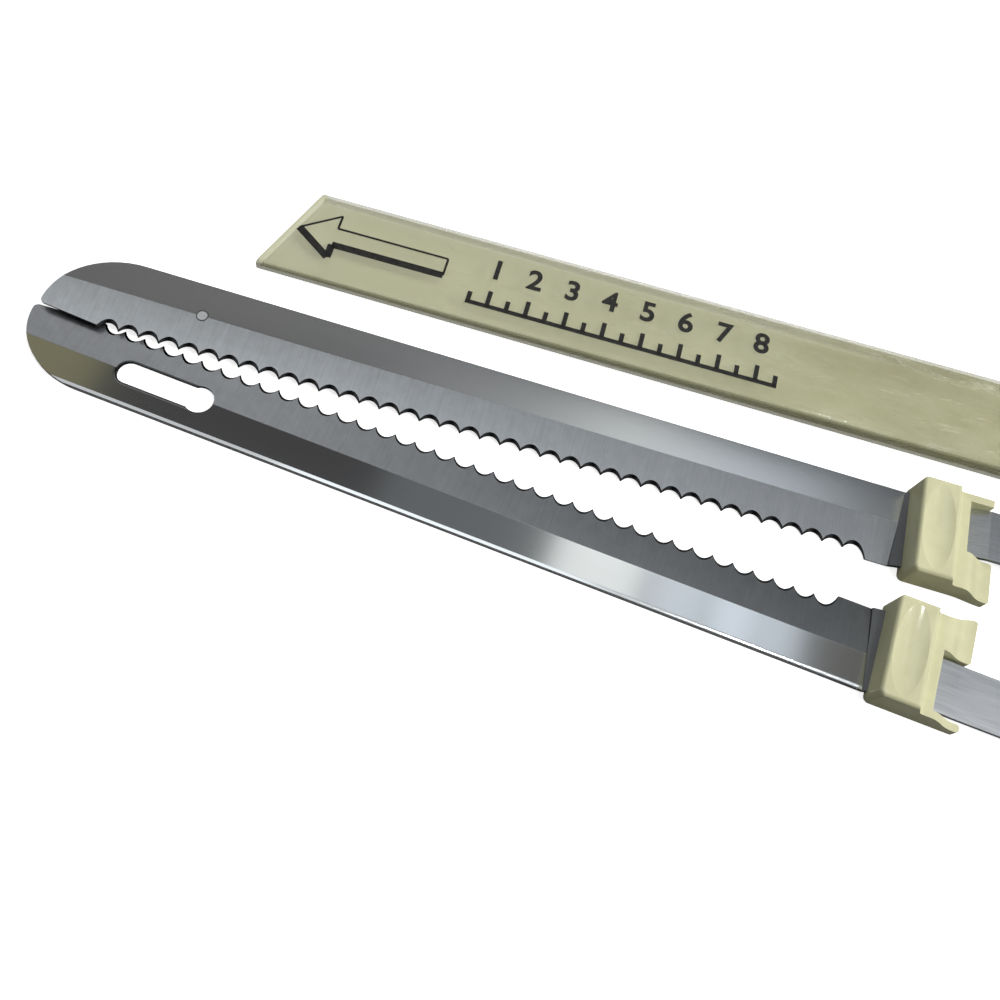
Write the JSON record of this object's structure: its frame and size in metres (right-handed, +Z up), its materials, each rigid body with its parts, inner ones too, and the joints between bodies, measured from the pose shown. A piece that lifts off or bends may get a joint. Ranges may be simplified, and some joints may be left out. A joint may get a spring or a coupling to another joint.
{
  "type": "electric carving knife",
  "caption": "Electric carving knife, taken apart: two scalloped blades with moulded thumb guards, a clear flat sheath and a motor handle with worm drive, carriers and trigger.",
  "frame": {"origin": "on the table under the lower blade, at its mid-width, 100 mm in front of its guard", "axes": "+X along the lower blade from its tip to its guard and on to the handle, +Y toward the upper blade and the sheath, +Z up from the table"},
  "size_m": [0.5345, 0.1015, 0.071],
  "materials": {
    "blade_steel": "ground and polished stainless steel",
    "guard_plastic": "moulded almond plastic",
    "clear_plastic": "clear flexible plastic, yellowed",
    "housing_plastic": "moulded almond plastic, fine texture",
    "dark_plastic": "moulded dark plastic",
    "button_plastic": "moulded brown plastic",
    "frame_metal": "die-cast",
    "machined_steel": "machined",
    "core_steel": "stacked laminations",
    "copper_wire": "enamelled copper",
    "commutator_copper": "turned copper bars",
    "bearing_bronze": "sintered bronze",
    "brass_parts": "bright brass",
    "carbon": "pressed carbon",
    "gear_nylon": "white nylon",
    "spring_steel": "drawn spring wire",
    "screw_steel": "plated steel"
  },
  "bodies": {
    "handle": {"housing_left": "housing_plastic", "housing_right": "housing_plastic", "housing_screws": "screw_steel", "nose_bezel": "dark_plastic", "gear_frame": "frame_metal", "field_core": "core_steel", "field_coils": "copper_wire", "brush_holders": "brass_parts", "carbon_brushes": "carbon", "brush_springs": "spring_steel", "front_bearing": "bearing_bronze", "back_bearing": "bearing_bronze", "switch_body": "dark_plastic", "trigger_spring": "spring_steel", "release_springs": "spring_steel", "inlet_socket": "dark_plastic", "inlet_pins": "brass_parts"},
    "motor_rotor": {"motor_shaft": "machined_steel", "armature_core": "core_steel", "armature_windings": "copper_wire", "commutator": "commutator_copper", "cooling_fan": "dark_plastic"},
    "crank_wheel": {"worm_wheel": "gear_nylon"},
    "left_blade_carrier": {"left_carrier": "gear_nylon"},
    "right_blade_carrier": {"right_carrier": "gear_nylon"},
    "trigger_body": {"trigger": "button_plastic"},
    "plunger_body": {"switch_plunger": "dark_plastic"},
    "left_button": {"left_release_button": "button_plastic"},
    "right_button": {"right_release_button": "button_plastic"},
    "upper_blade_unit": {"upper_blade": "blade_steel", "guide_stud": "machined_steel", "upper_guard": "guard_plastic"},
    "lower_blade_unit": {"lower_blade": "blade_steel", "lower_guard": "guard_plastic"},
    "sheath": {"blade_sheath": "clear_plastic"}
  },
  "joints": [
    {"name": "motor_spin", "type": "hinge", "parent": "handle", "child": "motor_rotor", "pos_m": [0.338, 0.014, 0.04], "axis": [1, 0, 0], "continuous": true},
    {"name": "wheel_spin", "type": "hinge", "parent": "handle", "child": "crank_wheel", "pos_m": [0.281, 0.014, 0.021], "axis": [0, 1, 0], "continuous": true},
    {"name": "left_carrier_slide", "type": "slide", "parent": "handle", "child": "left_blade_carrier", "axis": [1, 0, 0], "range_m": [-0.005, 0.005]},
    {"name": "right_carrier_slide", "type": "slide", "parent": "handle", "child": "right_blade_carrier", "axis": [1, 0, 0], "range_m": [-0.005, 0.005]},
    {"name": "trigger_press", "type": "slide", "parent": "handle", "child": "trigger_body", "axis": [0, 0, -1], "range_m": [0, 0.003], "stiffness_N_per_m": 400, "springref_m": -0.002, "deforming": ["trigger_spring"]},
    {"name": "plunger_press", "type": "slide", "parent": "handle", "child": "plunger_body", "axis": [0, 0, -1], "range_m": [0, 0.003]},
    {"name": "left_button_press", "type": "slide", "parent": "handle", "child": "left_button", "axis": [0, -1, 0], "range_m": [0, 0.003], "stiffness_N_per_m": 500, "springref_m": -0.001},
    {"name": "right_button_press", "type": "slide", "parent": "handle", "child": "right_button", "axis": [0, 1, 0], "range_m": [0, 0.003], "stiffness_N_per_m": 500, "springref_m": -0.001},
    {"name": "upper_blade_lift", "type": "slide", "parent": "handle", "child": "upper_blade_unit", "axis": [0, 0, 1], "range_m": [0, 0.04]},
    {"name": "lower_blade_draw", "type": "slide", "parent": "handle", "child": "lower_blade_unit", "axis": [0, -1, 0], "range_m": [0, 0.04]},
    {"name": "sheath_lift", "type": "slide", "parent": "handle", "child": "sheath", "axis": [0, 0, 1], "range_m": [0, 0.04]}
  ],
  "couplings": [
    {"joint": "wheel_spin", "follows": "motor_spin", "ratio": -0.033333},
    {"joint": "right_carrier_slide", "follows": "left_carrier_slide", "ratio": -1},
    {"joint": "plunger_press", "follows": "trigger_press", "ratio": 1}
  ]
}
